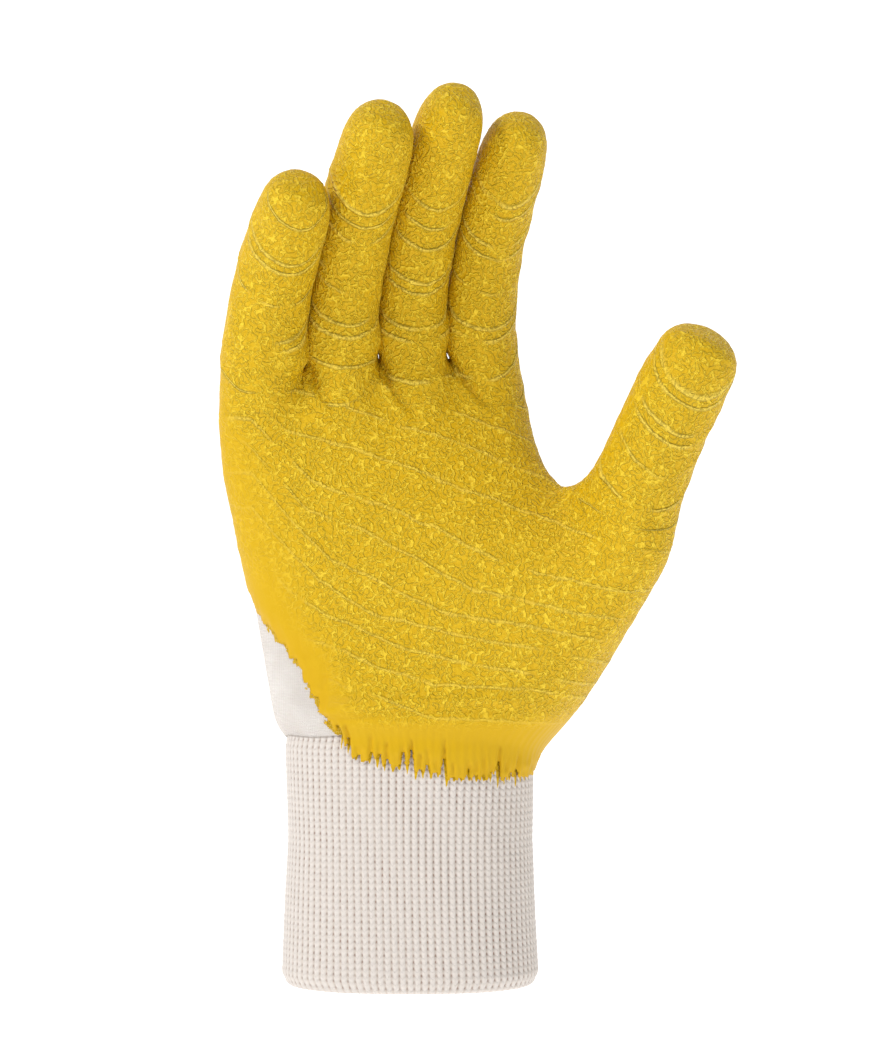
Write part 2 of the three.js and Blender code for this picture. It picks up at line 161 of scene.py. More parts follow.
# control points round the hand at one height: a squared oval, each side swung to the front by its cupping
def sectionRing(section, digitCount):
    middles = (np.arange(digitCount) + 0.5) / digitCount * 2 - 1
    spread = hand["columnSpread"] / digitCount
    columns = np.stack([middles - spread, middles + spread], axis=1).ravel()
    across = np.concatenate([[-1], columns, [1], columns[::-1]])
    face = np.concatenate([[0], -np.ones(len(columns)), [0], np.ones(len(columns))])
    share = (across + 1) / 2
    power = hand["palmSquareness"]
    bulge = face * (1 - np.abs(across) ** power) ** (1 / power)
    thick = section["thick"][0] + (section["thick"][1] - section["thick"][0]) * share
    swing = section["cupped"][0] * (1 - share) ** 2 + section["cupped"][1] * share**2
    ring = np.zeros((len(across), columnCount))
    ring[:, 0] = (section["left"] + (section["right"] - section["left"]) * share) * hand["breadth"]
    ring[:, 1] = (bulge * thick / 2 - swing) * hand["palmThickness"]
    height = hand["wristHeight"] + section["height"] * hand["palmLength"]
    ring[:, 2] = height - bulge * section["frontRise"] / 2
    ring[:, alongColumn] = (section["height"] - digits[1]["root"][2]) * hand["palmLength"]
    ring[:, sideColumn] = across
    ring[:, frontColumn] = -bulge
    return ring


# a cage of control points and faces, added ring by ring from the bottom up
class Cage:
    def __init__(self):
        self.rows = []
        self.faces = []
        self.count = 0

    def add(self, ring):
        self.rows.append(ring)
        self.count += len(ring)
        return np.arange(self.count - len(ring), self.count)

    def band(self, lower, upper):
        self.faces += np.stack([lower, np.roll(lower, -1), np.roll(upper, -1), upper], axis=1).tolist()

    # from one ring to loops side by side that share crotch points, with a five-sided face at each crotch
    def split(self, ring, loops):
        side = (len(ring) - 2) // 2
        taken = 0
        for k, loop in enumerate(loops):
            count = (len(loop) - 2) // 2
            front = ring[1 + taken : 1 + taken + count]
            back = ring[len(ring) - taken - count : len(ring) - taken]
            loopFront, loopBack = loop[1 : 1 + count], loop[2 + count :]
            for i in range(count - 1):
                self.faces.append([front[i], front[i + 1], loopFront[i + 1], loopFront[i]])
                self.faces.append([back[i], back[i + 1], loopBack[i + 1], loopBack[i]])
            if k == 0:
                self.faces.append([ring[0], front[0], loopFront[0], loop[0]])
                self.faces.append([back[-1], ring[0], loop[0], loopBack[-1]])
            if k == len(loops) - 1:
                self.faces.append([front[-1], ring[1 + side], loop[1 + count], loopFront[-1]])
                self.faces.append([ring[1 + side], back[0], loopBack[0], loop[1 + count]])
            else:
                beside, crotch = loops[k + 1], loop[1 + count]
                behind = ring[len(ring) - taken - count - 1]
                self.faces.append([front[-1], ring[1 + taken + count], beside[1], crotch, loopFront[-1]])
                self.faces.append([behind, back[0], loopBack[0], crotch, beside[-1]])
            taken += count


# the control cage of the whole hand, open at the bottom, with plain rings below for the cuff
def handCage():
    cage = Cage()
    ring = None
    below = [dict(handSections[0], height=share, frontRise=0) for share in reversed(wristRings)]
    for section in below + handSections:
        upper = cage.add(sectionRing(section, len(digits)))
        if ring is not None:
            cage.band(ring, upper)
        ring = upper
    fingers = len(digits) - 1
    web = np.zeros((1, columnCount))
    web[0, placeColumns] = sharePoint(hand["web"])
    webId = cage.add(web)
    palm = sectionRing(knuckleSections[0], fingers)
    half = len(palm) // 2
    palmLoop = np.concatenate([cage.add(palm[:half]), webId, cage.add(palm[half + 1 :])])
    thumbLoop = np.concatenate([webId, cage.add(digitRing(fingers, 0, 1)[1:])])
    cage.split(ring, [palmLoop, thumbLoop])
    ring = palmLoop
    for section in knuckleSections[1:]:
        upper = cage.add(sectionRing(section, fingers))
        cage.band(ring, upper)
        ring = upper
    roots = [digitRing(i, 0, 1) for i in range(fingers)]
    crotches = []
    for left, right in zip(digits[: fingers - 1], digits[1:fingers]):
        ends = sharePoint(left["root"]), sharePoint(right["root"])
        crotch = np.zeros((1, columnCount))
        crotch[0, placeColumns] = (ends[0] + ends[1]) / 2
        crotch[0, 2] = min(ends[0][2], ends[1][2]) + hand["crotchRise"]
        crotches.append(cage.add(crotch))
    loops = []
    for i, root in enumerate(roots):
        left = crotches[i - 1] if i else cage.add(root[:1])
        right = crotches[i] if i < fingers - 1 else cage.add(root[3:4])
        loops.append(np.concatenate([left, cage.add(root[1:3]), right, cage.add(root[4:])]))
    cage.split(ring, loops)
    for i, lower in enumerate(loops + [thumbLoop]):
        for along, girth in digitRings:
            upper = cage.add(digitRing(i, along, girth))
            cage.band(lower, upper)
            lower = upper
        cage.faces += [list(lower[:4]), [lower[3], lower[4], lower[5], lower[0]]]
    return np.concatenate(cage.rows), cage.faces


# one Catmull-Clark step on rows of numbers: face points are means, edge points the mean of ends and faces
# beside them, old points (F + 2R + (n - 3)P) / n, and border edges stay a smooth curve of their own
def subdivided(rows, corners, faceOf, following):
    faceCount, pointCount = faceOf.max() + 1, len(rows)

    def gathered(values, groups, count):
        total = np.stack([np.bincount(groups, column, count) for column in values.T], axis=1)
        return total, np.bincount(groups, minlength=count)[:, None]

    total, sizes = gathered(rows[corners], faceOf, faceCount)
    facePoints = total / sizes
    ends = np.sort(np.stack([corners, corners[following]], axis=1), axis=1)
    edges, edgeOf = np.unique(ends[:, 0] * pointCount + ends[:, 1], return_inverse=True)
    edgeEnds = np.stack([edges // pointCount, edges % pointCount], axis=1)
    mids = rows[edgeEnds].mean(axis=1)
    beside, uses = gathered(facePoints[faceOf], edgeOf, len(edges))
    border = uses[:, 0] == 1
    edgePoints = np.where(border[:, None], mids, (mids * 2 + beside) / 4)
    faceMean, valence = gathered(facePoints[faceOf], corners, pointCount)
    faceMean = faceMean / np.maximum(valence, 1)
    bothEnds = edgeEnds.ravel()
    midMean, edgeUses = gathered(np.repeat(mids, 2, axis=0), bothEnds, pointCount)
    midMean = midMean / np.maximum(edgeUses, 1)
    n = np.maximum(edgeUses, 3)
    inner = (faceMean + 2 * midMean + (n - 3) * rows) / n
    borderEnds = edgeEnds[border].ravel()
    borderSum, borderUses = gathered(np.repeat(mids[border], 2, axis=0), borderEnds, pointCount)
    onBorder = (rows * 2 + borderSum) / 4
    oldPoints = np.where(borderUses > 0, onBorder, inner)
    previous = np.empty_like(following)
    previous[following] = np.arange(len(following))
    quads = np.stack([
        corners,
        pointCount + faceCount + edgeOf,
        pointCount + faceOf,
        pointCount + faceCount + edgeOf[previous],
    ], axis=1)
    return np.concatenate([oldPoints, facePoints, edgePoints]), quads


# the cage subdivided a number of times, as rows of numbers and quads
def handSurface(times):
    rows, faces = handCage()
    lengths = np.array([len(face) for face in faces])
    corners = np.concatenate(faces).astype(np.int64)
    faceOf = np.repeat(np.arange(len(faces)), lengths)
    starts = np.repeat(np.cumsum(lengths) - lengths, lengths)
    following = starts + (np.arange(len(corners)) - starts + 1) % np.repeat(lengths, lengths)
    for _ in range(times):
        rows, quads = subdivided(rows, corners, faceOf, following)
        corners = quads.ravel()
        faceOf = np.repeat(np.arange(len(quads)), 4)
        following = (np.arange(len(quads))[:, None] * 4 + [1, 2, 3, 0]).ravel()
    return rows, quads


# unit normals at the points of quads: each face's diagonals crossed and summed at its corners
def normalsOf(points, quads):
    a, b, c, d = (points[quads[:, i]] for i in range(4))
    faceNormals = np.cross(c - a, d - b)
    total = np.stack([
        np.bincount(quads.ravel(), np.repeat(faceNormals[:, i], 4), len(points)) for i in range(3)
    ], axis=1)
    return total / np.maximum(np.linalg.norm(total, axis=1, keepdims=True), 1e-12)


# large primes that mix a lattice corner and a seed into one random number
cornerPrimes = (73856093, 19349663, 83492791)
seedPrime, mixPrime = 374761393, 1274126177


# smooth random numbers from -1 to 1 over space: random values at lattice corners, blended by quintic curves
def cloud(points, size, seed):
    cell = points / size
    base = np.floor(cell).astype(np.int64)
    t = cell - base
    t = t**3 * (t * (t * 6 - 15) + 10)
    total = np.zeros(len(points))
    for corner in itertools.product((0, 1), repeat=3):
        key = (base + corner) * cornerPrimes
        mixed = (key[:, 0] ^ key[:, 1] ^ key[:, 2] ^ (seed * seedPrime)) & 0xFFFFFFFF
        mixed = ((mixed ^ (mixed >> 13)) * mixPrime) & 0xFFFFFFFF
        mixed = (mixed ^ (mixed >> 16)) & 0xFFFFFFFF
        total += (mixed / 2**31 - 1) * np.prod(np.where(corner, t, 1 - t), axis=1)
    return total


# The cuff, an oval tube from the hem up into the liner.
cuffLow, cuffHigh = (np.array(corner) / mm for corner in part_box("rib_cuff"))
cuff = {
    "width": cuffHigh[0] - cuffLow[0],
    "depth": cuffHigh[1] - cuffLow[1],
    "height": 73,
    "top": cuffHigh[2],
    "wall": 2.2,
    "squareness": 2.3,
    "ribs": 91,
    "sway": 0.5,  # in ribs
    "swayLength": 31,
    "swayTurn": 1.3,
    "ribRelief": 0.55,
    "stitchRelief": 0.1,
    "insideRelief": 0.35,  # share of the relief that is left inside the cuff
    "course": 1.85,
    "puff": 0.18,
    "puffSize": 22,
    "puffOval": (40, 30),
    "slim": 0.6,  # how far in the puffs' middle lies, as a share of them
    "grooveWidth": 0.7,
    "soaked": 0.7,
    "girthSteps": 2880,
    "heights": (0, 0.05, 0.57, 0.93, 1.07),
    "widths": (0.955, 1, 0.957, 0.97, 0.92),
    "depths": (0.94, 1, 0.955, 0.95, 0.87),
}


# half width and half depth of the cuff at a height
def cuffHalves(z):
    heights = np.array(cuff["heights"]) * cuff["height"]
    return (
        np.interp(z, heights, cuff["widths"]) * cuff["width"] / 2,
        np.interp(z, heights, cuff["depths"]) * cuff["depth"] / 2,
    )


# the cuff's radius at an angle and height, moved out by an offset: (|cos/a|^n + |sin/b|^n)^(-1/n)
def cuffRadius(angle, z, offset=0.0):
    halfWidth, halfDepth = cuffHalves(z)
    power = cuff["squareness"]
    across = np.abs(np.cos(angle)) / (halfWidth + offset)
    deep = np.abs(np.sin(angle)) / (halfDepth + offset)
    return (across**power + deep**power) ** (-1 / power)


# how far round the cuff an angle lies, as a share of its girth
def cuffShare(angle):
    fine = np.linspace(0, 2 * math.pi, cuff["girthSteps"] + 1)
    middle = cuffRadius(fine, np.full(len(fine), 0.5 * cuff["height"]))
    steps = np.hypot(np.diff(middle * np.cos(fine)), np.diff(middle * np.sin(fine)))
    lengths = np.concatenate([[0], np.cumsum(steps)])
    return np.interp(angle % (2 * math.pi), fine, lengths / lengths[-1])


# how far the ribs run aside, in ribs: sway * sin(z / length + turn * cos(angle))
def ribSway(angle, z):
    return np.sin(z / cuff["swayLength"] + cuff["swayTurn"] * np.cos(angle)) * cuff["sway"]


# the rib that a point lies on, passing a whole number in each groove
def waleOf(points):
    angle = np.arctan2(points[:, 1], points[:, 0])
    return cuffShare(angle) * cuff["ribs"] + ribSway(angle, points[:, 2])


# Where the coat ends round the wrist: degrees from the thumb side through the back, and heights as shares of
# palm length above the seam.
coatEdge = {
    "angles": (0, 30, 60, 90, 130, 160, 180, 195, 210, 222, 229, 245, 265, 290, 320, 342),
    "heights": (
        -0.09, 0.02, 0.25, 0.42, 0.5, 0.45, 0.39, 0.3,
        0.195, 0.06, -0.045, -0.088, -0.105, -0.128, -0.138, -0.138,
    ),
    "steps": 24,
}


# how far a point lies above the coat's edge, square to it: a closed Catmull-Rom curve through its table
def aboveEdge(points):
    knots = np.stack([coatEdge["angles"], coatEdge["heights"]], axis=1).astype(float)
    turns = np.array([360.0, 0.0])
    before, after = np.roll(knots, 1, axis=0), np.roll(knots, -1, axis=0)
    before[0] -= turns
    after[-1] += turns
    last = np.roll(knots, -2, axis=0)
    last[-2:] += turns
    t = (np.arange(coatEdge["steps"]) / coatEdge["steps"])[None, :, None]
    p0, p1, p2, p3 = (p[:, None, :] for p in (before, knots, after, last))
    curve = 0.5 * (
        2 * p1 + (p2 - p0) * t + (2 * p0 - 5 * p1 + 4 * p2 - p3) * t**2 + (3 * p1 - p0 - 3 * p2 + p3) * t**3
    )
    knownAngles, knownHeights = curve.reshape(-1, 2).T

    def edgeAt(degrees):
        share = np.interp(degrees, knownAngles, knownHeights, period=360)
        return hand["wristHeight"] + hand["palmLength"] * share

    angle = np.degrees(np.arctan2(points[:, 1], points[:, 0]))
    edge, ahead = edgeAt(angle), edgeAt(angle + 1)
    radius = np.hypot(points[:, 0], points[:, 1])
    slope = (ahead - edge) / np.maximum(radius * math.radians(1), 1e-6)
    return (points[:, 2] - edge) / np.sqrt(1 + slope**2)


# keeps the faces where a value is above zero, its border points first slid along their edges to the zero line
def cutWhere(points, quads, value):
    ends = np.sort(np.stack([quads, np.roll(quads, -1, axis=1)], axis=2).reshape(-1, 2), axis=1)
    ends = np.unique(ends, axis=0)
    first, second = ends.T
    crossing = (value[first] > 0) != (value[second] > 0)
    first, second = first[crossing], second[crossing]
    share = value[first] / (value[first] - value[second])
    place = points[first] + (points[second] - points[first]) * share[:, None]
    pulled = np.where(share < 0.5, first, second)
    uses = np.bincount(pulled, minlength=len(points))
    total = np.stack([np.bincount(pulled, column, len(points)) for column in place.T], axis=1)
    moved = np.where(uses[:, None] > 0, total / np.maximum(uses, 1)[:, None], points)
    sign = np.where(uses > 0, 0, np.sign(value))
    whole = (sign[quads] >= 0).all(axis=1) & (sign[quads] > 0).any(axis=1)
    return moved, whole


# an object of some data, put into the scene
def objectOf(name, data):
    made = bpy.data.objects.new(name, data)
    bpy.context.scene.collection.objects.link(made)
    return made


# a mesh object in metres from points in millimetres and faces of any number of corners
def meshPiece(name, points, faces):
    mesh = bpy.data.meshes.new(name)
    mesh.from_pydata(points * mm, [], faces)
    mesh.update()
    mesh.shade_smooth()
    return objectOf(name, mesh)


# a number at each point of a mesh, for its material to read
def setNumbers(piece, name, values):
    attribute = piece.data.attributes.new(name, "FLOAT", "POINT")
    attribute.data.foreach_set("value", np.asarray(values, dtype=np.float32))


# a closed wall: the outer quads, the inner faces, and a rim that joins them round the border
def wallFaces(quads, pointCount, innerFaces):
    directed = np.stack([quads, np.roll(quads, -1, axis=1)], axis=2).reshape(-1, 2)
    code = directed[:, 0] * pointCount + directed[:, 1]
    back = directed[:, 1] * pointCount + directed[:, 0]
    border = directed[~np.isin(code, back)]
    rim = np.concatenate([border[:, ::-1], border + pointCount], axis=1)
    return quads.tolist() + rim.tolist() + innerFaces


# the inner surface's faces: four quads of one parent become one face, which takes in the points between where
# a neighbour keeps its quads
def coarseFaces(quads, kept, pointCount):
    families = quads.reshape(-1, 4, 4)
    whole = kept.reshape(-1, 4).all(axis=1)
    fine = quads[np.repeat(~whole, 4) & kept]
    needed = np.zeros(pointCount, bool)
    needed[families[~whole][:, :, 1].ravel()] = True
    directed = np.stack([families[whole][:, :, 0], families[whole][:, :, 1]], axis=2)
    rings = directed.reshape(len(directed), -1)
    keep = np.ones_like(rings, dtype=bool)
    keep[:, 1::2] = needed[rings[:, 1::2]]
    faces = [ring[mask][::-1] + pointCount for ring, mask in zip(rings, keep)]
    return [face.tolist() for face in faces] + (fine[:, ::-1] + pointCount).tolist()


# points with unused ones dropped, the faces renumbered, and the numbers of the points that are kept
def compacted(points, faces):
    lengths = [len(face) for face in faces]
    flat = np.concatenate([np.asarray(face) for face in faces])
    used, renumbered = np.unique(flat, return_inverse=True)
    splits = np.split(renumbered, np.cumsum(lengths)[:-1])
    return points[used], [face.tolist() for face in splits], used


# a closed shell between an outer and an inner surface, cut where a value is 0, with numbers at its points
def shellPiece(name, outer, inner, quads, value, numbers):
    moved, kept = cutWhere(np.concatenate([outer, inner], axis=1), quads, value)
    faces = wallFaces(quads[kept], len(value), coarseFaces(quads, kept, len(value)))
    places, faces, used = compacted(np.concatenate([moved[:, :3], moved[:, 3:]]), faces)
    piece = meshPiece(name, places, faces)
    for title, values in numbers.items():
        setNumbers(piece, title, np.concatenate([values, values])[used])
    return piece


# points near the wrist kept outside the cuff: each radius is the larger of its own and the cuff's, as
# least + (gap + sqrt(gap^2 + blend^2)) / 2
def overCuff(points, offset, blend):
    angle = np.arctan2(points[:, 1], points[:, 0])
    radius = np.hypot(points[:, 0], points[:, 1])
    least = cuffRadius(angle, np.clip(points[:, 2], 0, cuff["top"]), offset)
    near = points[:, 2] < hand["wristHeight"] + 0.1 * hand["palmLength"]
    gap = radius - least
    larger = least + (gap + np.sqrt(gap**2 + blend**2)) / 2
    scale = np.where(near, larger / np.maximum(radius, 1e-6), 1)
    return points * np.stack([scale, scale, np.ones(len(points))], axis=1)


print("stage: form worked out")


# Relief of the coat. Lengths are in millimetres.
coat = {
    "subdivisions": 4,
    "edgeThickness": 0.2,
    "edgeTaper": 5.0,  # from the edge to where the coat has its full thickness
    "tooth": 1.7,
    "toothSize": 1.7,
    "toothed": (200, 150),  # heights between which the teeth of the edge begin
    "smoothMargin": 9.0,  # the coat is free of crinkle within this distance of its edge
    "crinkled": (72, 80),
    "leftFlank": 0.65,  # how much the crinkle fades on the left flanks
    "swellSize": 9.0,
    "swell": 0.18,
    "wrinkleSize": 2.8,
    "wrinkle": 0.13,
    "wrinkleSharpness": 2.5,
    "warpSize": 7,
    "warp": 2.4,
    "ridge": 0.32,
    "ridgeWidth": 1.3,
    "ridgeWaveSize": 13,
    "ridgeWave": 0.14,  # as a share of the way to the next ridge
    "breakSize": 16,
    "breaks": (-0.5, 0.1),
    "palmRidges": 0.55,
    "digitRidges": 0.45,  # what the fronts of the digits have more than the palm
    "ribbed": (77, 73),
    "wristBlend": 1.6,
}

# The coat's ragged end over the cuff: a spike down each rib, and a slit up each groove.
raggedEnd = {
    "spike": 3.5,
    "slit": 12.0,
    "slitWidth": 0.33,  # in ribs
    "deeper": 0.7,  # how much deeper the slits are on the left
    "left": (5, -25),
    "low": (77, 74),
    "side": (34, 28),
    "randomStep": (5.3, 0, 0),
    "randomSize": 3.1,
}

# Drooping ridges across the digits: how far along the digit each one's lowest point lies.
arcs = {
    "little": (-2, 12, 14.5, 27, 39.5, 42.2, 55.1),
    "ring": (-8, 4.1, 13.5, 16.6, 27, 29.7, 44.2, 49.5, 53.8),
    "middle": (-12, -1.9, 9.8, 13, 24.6, 27.4, 39.3, 46, 52.7),
    "index": (-12, -0.2, 11, 14, 25.2, 37.4, 40.4, 51.5, 55.3),
    "thumb": (-4, 7, 18, 28, 31, 40, 43),
}
# where across a digit an arc is lowest, the rise of its left and right ends, and how the sides turn back
arcShape = {"lowest": 0.15, "rise": (14.0, 24.0), "power": 1.8, "back": -0.6, "roundness": 0.9}
ridgeSpacing = {"digit": 12.0, "palm": 10.0, "beyond": 9}

# Long ridges over the palm from the top down: x and height of their points as seen from the front.
palmRidges = [
    ((-44, 173), (-31, 168), (-9, 161), (6, 156), (17, 152), (34, 145), (60, 134)),
    ((-45, 167), (-34, 157), (-10, 150), (8, 144), (30, 135), (60, 124)),
    ((-44, 160), (-27, 143), (-18, 139), (-1, 133), (18, 124), (31, 118), (60, 112)),
    ((-46, 154), (-28, 135), (-9, 127), (4, 120), (19, 112), (28, 110), (60, 104)),
    ((-44, 145), (-32, 131), (-21, 120), (-2, 112), (9, 106), (26, 104), (60, 97)),
    ((-44, 136), (-39, 130), (-25, 115), (-11, 106), (10, 101), (26, 98), (60, 91)),
    ((-44, 124), (-34, 112), (-22, 105), (-14, 102), (-1, 96), (12, 93), (30, 90), (60, 84)),
    ((-44, 108), (-30, 99), (-18, 95), (-7, 91), (7, 86), (33, 85), (60, 80)),
]

# Folds that run on from between the fingers, as seen from the front: the surface steps down on their right.
folds = [
    ((-30.5, 186), (-29, 177), (-27.5, 171), (-24.5, 166), (-20, 161)),
    ((-11.5, 186), (-10, 178), (-6.5, 171), (-2, 164.5), (4, 158)),
    ((9, 186), (11, 178), (14.5, 172), (19.5, 166), (25, 161)),
]
foldShape = {
    "step": 2.0,
    "sharpness": 0.55,
    "reach": 5.0,
    "lip": 0.5,
    "lipBefore": 1.6,
    "lipWidth": 2.0,
    "groove": 1.2,
    "grooveAfter": 0.4,
    "grooveWidth": 0.9,
    "top": (178, 172),
    "end": (1.0, 0.5),  # shares of the line between which it fades out
}

# The coat's edge beside the heel of the hand, as seen from the front, and how far from it the crinkle begins.
smoothSide = {
    "line": ((-45.6, 107), (-40.5, 98), (-34, 91.5), (-28, 83.5), (-24, 74)),
    "from": 3.0,
    "to": 17.0,
}
# The crease where the hand's cloth is sewn to the cuff, as seen from the front, with a low swell above it.
wristCrease = {
    "line": (
        (-40, 74), (-35, 74.4), (-24, 75.6), (-18, 76.6), (-3, 78), (11, 78.8), (31, 79), (42, 76.6), (50, 75),
    ),
    "depth": 0.7,
    "width": 1.3,
    "swell": 0.6,
    "swellAbove": 3,
    "swellWidth": 2,
    "side": (40, 20),
}
web = {"rise": 1.0, "height": (166, 170), "top": (190, 184), "upward": (0.0, 0.7), "side": (34, 26)}
# Along a finger, where its sides swell to its neighbours, and how far round they begin to.
flank = {"from": -14, "middle": 6, "to": 21, "swell": 2.3, "round": (0.25, 0.6), "own": (0.0, 0.45)}


# where a point lies between ridges, as a number that passes a whole one on each ridge, and how far apart
# they are there: on a digit along - rise * |across|^power meets the arcs, on the palm the height the lines
def ridgeField(rows, points):
    side, front = rows[:, sideColumn], rows[:, frontColumn]
    turned = np.maximum(front, arcShape["back"]) + arcShape["roundness"]
    across = np.arctan2(side, turned) - arcShape["lowest"]
    rise = np.where(across < 0, *arcShape["rise"])
    lifted = rows[:, alongColumn] - rise * np.abs(across) ** arcShape["power"]
    phase, apart = np.zeros(len(rows)), np.full(len(rows), ridgeSpacing["digit"])
    for k, digit in enumerate(digits):
        member = rows[:, memberColumns.start + k] > 0.5
        steps = np.array(arcs[digit["name"]], float)
        beyond = np.maximum(lifted[member] - steps[-1], 0) - np.maximum(steps[0] - lifted[member], 0)
        onward = np.clip(beyond / ridgeSpacing["beyond"], -0.5, 0.5)
        phase[member] = np.interp(lifted[member], steps, np.arange(len(steps))) + onward
        apart[member] = np.interp(lifted[member], (steps[1:] + steps[:-1]) / 2, np.diff(steps))
    palm = rows[:, memberColumns].max(axis=1) <= 0.5
    x, z = points[palm, 0], points[palm, 2]
    heights = np.stack([np.interp(x, *np.array(line, float).T) for line in palmRidges])
    level, width = np.zeros(len(z)), np.full(len(z), ridgeSpacing["palm"])
    for k, (upper, lower) in enumerate(zip(heights[:-1], heights[1:])):
        inside = (z <= upper) & (z > lower)
        level[inside] = (k + (upper - z) / (upper - lower))[inside]
        width[inside] = (upper - lower)[inside]
    below, above = z <= heights[-1], z > heights[0]
    level[below] = (len(palmRidges) - 1 + (heights[-1] - z) / ridgeSpacing["beyond"])[below]
    level[above] = ((heights[0] - z) / ridgeSpacing["beyond"])[above]
    phase[palm], apart[palm] = level, width
    return phase, apart


# signed distance from a line seen from the front, more than 0 on its right, and the share of it passed
def besideLine(points, line):
    seen = points[:, [0, 2]]
    ends = np.array(line, float)
    least, signed, passed = np.full(len(points), 1e9), np.zeros(len(points)), np.zeros(len(points))
    for k, (start, end) in enumerate(zip(ends[:-1], ends[1:])):
        way = end - start
        share = np.clip((seen - start) @ way / (way @ way), 0, 1)
        apart = seen - start - share[:, None] * way
        distance = np.linalg.norm(apart, axis=1)
        turn = way[0] * apart[:, 1] - way[1] * apart[:, 0]
        nearer = distance < least
        least = np.where(nearer, distance, least)
        signed = np.where(nearer, np.sign(turn) * distance, signed)
        passed = np.where(nearer, (k + share) / (len(ends) - 1), passed)
    return signed, passed


# a bell curve: exp(-((value - middle) / width)^2)
def bell(value, middle, width):
    return np.exp(-(((value - middle) / width) ** 2))


# 1 where the surface faces the front, eased to 0 where it turns to the side
def facingFront(normals):
    return eased(-normals[:, 1], 0.0, 0.4)


# the folds' depth: past the line the surface drops by a step that fades with distance, before it a low lip
def foldRelief(points, normals):
    total, facing = np.zeros(len(points)), facingFront(normals)
    for line in folds:
        beside, passed = besideLine(points, line)
        size = eased(passed, *foldShape["end"]) * facing * eased(points[:, 2], *foldShape["top"])
        drop = -foldShape["step"] * eased(beside, -foldShape["sharpness"], foldShape["sharpness"])
        drop = drop * np.exp(-np.maximum(beside, 0) / foldShape["reach"])
        lip = foldShape["lip"] * bell(beside, -foldShape["lipBefore"], foldShape["lipWidth"])
        groove = foldShape["groove"] * bell(beside, foldShape["grooveAfter"], foldShape["grooveWidth"])
        total += (drop + lip - groove) * size
    return total


# the wrist crease's relief: -depth * exp(-(distance / width)^2), with a low swell on its upper side
def creaseRelief(points, normals):
    beside, _ = besideLine(points, wristCrease["line"])
    shown = facingFront(normals) * eased(points[:, 0], *wristCrease["side"])
    groove = -wristCrease["depth"] * bell(beside, 0, wristCrease["width"])
    swell = wristCrease["swell"] * bell(beside, wristCrease["swellAbove"], wristCrease["swellWidth"])
    return (groove + swell) * shown


# how far the sides of the four fingers swell near their roots, so that they close up
def flankRelief(rows):
    along, side, members = rows[:, alongColumn], rows[:, sideColumn], rows[:, memberColumns]
    near = eased(along, flank["from"], flank["middle"]) * eased(along, flank["to"], flank["middle"])
    left, right = eased(-side, *flank["round"]), eased(side, *flank["round"])
    members = eased(members, *flank["own"])
    sides = members[:, :3].max(axis=1) * right + members[:, 1:4].max(axis=1) * left
    return flank["swell"] * near * sides


# how far the coat's edge runs down each rib of the cuff, less how far it stands back over each groove
def spikes(points):
    wale = waleOf(points)
    groove = np.round(wale)
    step, size = raggedEnd["randomStep"], raggedEnd["randomSize"]
    rib, slit = (cloud(np.outer(k, step), size, 23) * 0.5 + 0.5 for k in (np.floor(wale), groove))
    deeper = 1 + raggedEnd["deeper"] * eased(points[:, 0], *raggedEnd["left"])
    back = raggedEnd["slit"] * slit**2 * bell(wale, groove, raggedEnd["slitWidth"]) * deeper
    shown = eased(points[:, 2], *raggedEnd["low"]) * eased(points[:, 0], *raggedEnd["side"])
    return (raggedEnd["spike"] * rib**2 - back) * shown


# the webs between the fingers raised, where the surface faces up at their roots
def webRelief(points, normals):
    height = eased(points[:, 2], *web["height"]) * eased(points[:, 2], *web["top"])
    upward = eased(normals[:, 2], *web["upward"])
    return web["rise"] * height * upward * eased(points[:, 0], *web["side"])


